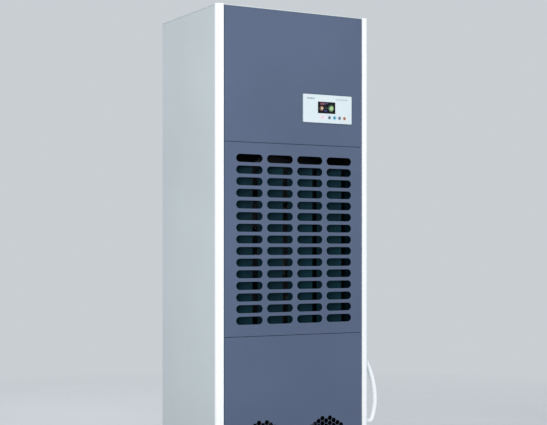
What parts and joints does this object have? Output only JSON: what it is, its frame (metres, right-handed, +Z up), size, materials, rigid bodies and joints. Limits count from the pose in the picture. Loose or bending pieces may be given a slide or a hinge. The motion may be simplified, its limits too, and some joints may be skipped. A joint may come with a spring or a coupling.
{
  "type": "floor-standing dehumidifier",
  "caption": "Tall sheet-steel dehumidifier on swivel casters, with a slotted front outlet, a small control panel, a hinged side service door with a bow handle, and a rear lift-out filter.",
  "frame": {"origin": "on the floor, under the middle of the overall box; the casing's own centre line is at x = -0.0285 m and y = -0.0098 m, because the handle stands out on +X and the drain spigot on +Y", "axes": "+Z up along the cabinet's height; the front, with the controller and the outlet slots, faces -Y; +X is the viewer's right when facing the front"},
  "size_m": [0.6373, 0.4504, 1.65],
  "materials": {
    "post_white": "white semi-gloss powder coat",
    "casing_grey": "pale blue-grey fine-texture powder coat",
    "panel_slate": "slate blue fine-texture powder coat",
    "bezel_white": "white moulded plastic",
    "screen_glass": "black display window",
    "button_grey": "grey key cap",
    "button_cyan": "blue key cap",
    "button_orange": "orange key cap",
    "lens_pink": "translucent lamp lens",
    "duct_teal": "dark air guide",
    "zinc_steel": "zinc-plated sheet",
    "coil_aluminium": "finned aluminium",
    "copper": "drawn copper tube",
    "compressor_black": "black enamel",
    "black_plastic": "black moulded plastic",
    "fan_black": "black moulded fan plastic",
    "circuit_green": "circuit board",
    "filter_mesh": "woven nylon filter in a plastic frame",
    "pan_plastic": "grey moulded plastic",
    "clear_hose": "translucent PVC hose",
    "tyre_rubber": "soft dark grey tread",
    "brake_red": "red pedal"
  },
  "bodies": {
    "cabinet": {"base_tray": "zinc_steel", "post_front_left": "post_white", "post_front_right": "post_white", "left_side_panel": "casing_grey", "right_side_panel": "casing_grey", "rear_panel": "casing_grey", "top_cover": "casing_grey", "upper_front_panel": "panel_slate", "outlet_grille": "panel_slate", "lower_front_panel": "panel_slate", "upper_deck": "zinc_steel", "lower_deck": "zinc_steel", "vane_frame": "duct_teal", "hinge_leaf_upper": "zinc_steel", "hinge_leaf_lower": "zinc_steel", "hinge_pin_upper": "zinc_steel", "hinge_pin_lower": "zinc_steel", "door_catch": "black_plastic", "controller_bezel": "bezel_white", "display_screen": "screen_glass", "status_lens": "lens_pink", "control_board": "circuit_green", "electrical_box": "zinc_steel", "contactor": "black_plastic", "run_capacitor": "coil_aluminium", "fan_plate": "compressor_black", "motor_upper": "compressor_black", "motor_lower": "compressor_black", "motor_bracket_upper": "compressor_black", "motor_bracket_lower": "compressor_black", "evaporator": "coil_aluminium", "condenser": "coil_aluminium", "compressor": "compressor_black", "accumulator": "compressor_black", "discharge_pipe": "copper", "suction_pipe": "copper", "liquid_line": "copper", "drain_pan": "pan_plastic", "drain_tube": "clear_hose", "drain_spigot": "black_plastic", "cable_gland": "black_plastic"},
    "service_door": {"service_door": "casing_grey", "door_handle": "post_white"},
    "air_filter": {"air_filter": "filter_mesh"},
    "fan_upper": {"fan_upper": "fan_black"},
    "fan_lower": {"fan_lower": "fan_black"},
    "mode_button": {"mode_button": "button_grey"},
    "down_button": {"down_button": "button_cyan"},
    "up_button": {"up_button": "button_grey"},
    "power_button": {"power_button": "button_orange"},
    "caster_fl": {"caster_fork_fl": "zinc_steel"},
    "wheel_fl": {"caster_wheel_fl": "tyre_rubber"},
    "caster_fr": {"caster_fork_fr": "zinc_steel"},
    "wheel_fr": {"caster_wheel_fr": "tyre_rubber"},
    "caster_rl": {"caster_fork_rl": "zinc_steel"},
    "wheel_rl": {"caster_wheel_rl": "tyre_rubber"},
    "caster_rr": {"caster_fork_rr": "zinc_steel"},
    "wheel_rr": {"caster_wheel_rr": "tyre_rubber"},
    "brake_fl": {"caster_brake_fl": "brake_red"},
    "brake_fr": {"caster_brake_fr": "brake_red"}
  },
  "joints": [
    {"name": "service_door_hinge", "type": "hinge", "parent": "cabinet", "child": "service_door", "pos_m": [0.266, 0.1692, 0.329], "axis": [0, 0, 1], "range_deg": [0, 100]},
    {"name": "filter_slide", "type": "slide", "parent": "cabinet", "child": "air_filter", "axis": [0, 0, 1], "range_m": [0, 0.62]},
    {"name": "fan_upper_spin", "type": "hinge", "parent": "cabinet", "child": "fan_upper", "pos_m": [-0.0285, -0.0818, 1.046], "axis": [0, -1, 0], "continuous": true},
    {"name": "fan_lower_spin", "type": "hinge", "parent": "cabinet", "child": "fan_lower", "pos_m": [-0.0285, -0.0818, 0.742], "axis": [0, -1, 0], "continuous": true},
    {"name": "mode_button_press", "type": "slide", "parent": "cabinet", "child": "mode_button", "axis": [0, 1, 0], "range_m": [0, 0.001], "stiffness_N_per_m": 600, "springref_m": -0.001},
    {"name": "down_button_press", "type": "slide", "parent": "cabinet", "child": "down_button", "axis": [0, 1, 0], "range_m": [0, 0.001], "stiffness_N_per_m": 600, "springref_m": -0.001},
    {"name": "up_button_press", "type": "slide", "parent": "cabinet", "child": "up_button", "axis": [0, 1, 0], "range_m": [0, 0.001], "stiffness_N_per_m": 600, "springref_m": -0.001},
    {"name": "power_button_press", "type": "slide", "parent": "cabinet", "child": "power_button", "axis": [0, 1, 0], "range_m": [0, 0.001], "stiffness_N_per_m": 600, "springref_m": -0.001},
    {"name": "caster_fl_swivel", "type": "hinge", "parent": "cabinet", "child": "caster_fl", "pos_m": [-0.2635, -0.1598, 0.075], "axis": [0, 0, 1], "continuous": true},
    {"name": "wheel_fl_roll", "type": "hinge", "parent": "caster_fl", "child": "wheel_fl", "pos_m": [-0.2635, -0.1778, 0.025], "axis": [1, 0, 0], "continuous": true},
    {"name": "brake_fl_pedal", "type": "hinge", "parent": "caster_fl", "child": "brake_fl", "pos_m": [-0.2635, -0.1868, 0.056], "axis": [1, 0, 0], "range_deg": [0, 15], "stiffness_Nm_per_rad": 0.6, "springref_deg": -5.73},
    {"name": "caster_fr_swivel", "type": "hinge", "parent": "cabinet", "child": "caster_fr", "pos_m": [0.2065, -0.1598, 0.075], "axis": [0, 0, 1], "continuous": true},
    {"name": "wheel_fr_roll", "type": "hinge", "parent": "caster_fr", "child": "wheel_fr", "pos_m": [0.2065, -0.1778, 0.025], "axis": [1, 0, 0], "continuous": true},
    {"name": "brake_fr_pedal", "type": "hinge", "parent": "caster_fr", "child": "brake_fr", "pos_m": [0.2065, -0.1868, 0.056], "axis": [1, 0, 0], "range_deg": [0, 15], "stiffness_Nm_per_rad": 0.6, "springref_deg": -5.73},
    {"name": "caster_rl_swivel", "type": "hinge", "parent": "cabinet", "child": "caster_rl", "pos_m": [-0.2635, 0.1402, 0.075], "axis": [0, 0, 1], "continuous": true},
    {"name": "wheel_rl_roll", "type": "hinge", "parent": "caster_rl", "child": "wheel_rl", "pos_m": [-0.2635, 0.1582, 0.025], "axis": [1, 0, 0], "continuous": true},
    {"name": "caster_rr_swivel", "type": "hinge", "parent": "cabinet", "child": "caster_rr", "pos_m": [0.2065, 0.1402, 0.075], "axis": [0, 0, 1], "continuous": true},
    {"name": "wheel_rr_roll", "type": "hinge", "parent": "caster_rr", "child": "wheel_rr", "pos_m": [0.2065, 0.1582, 0.025], "axis": [1, 0, 0], "continuous": true}
  ]
}
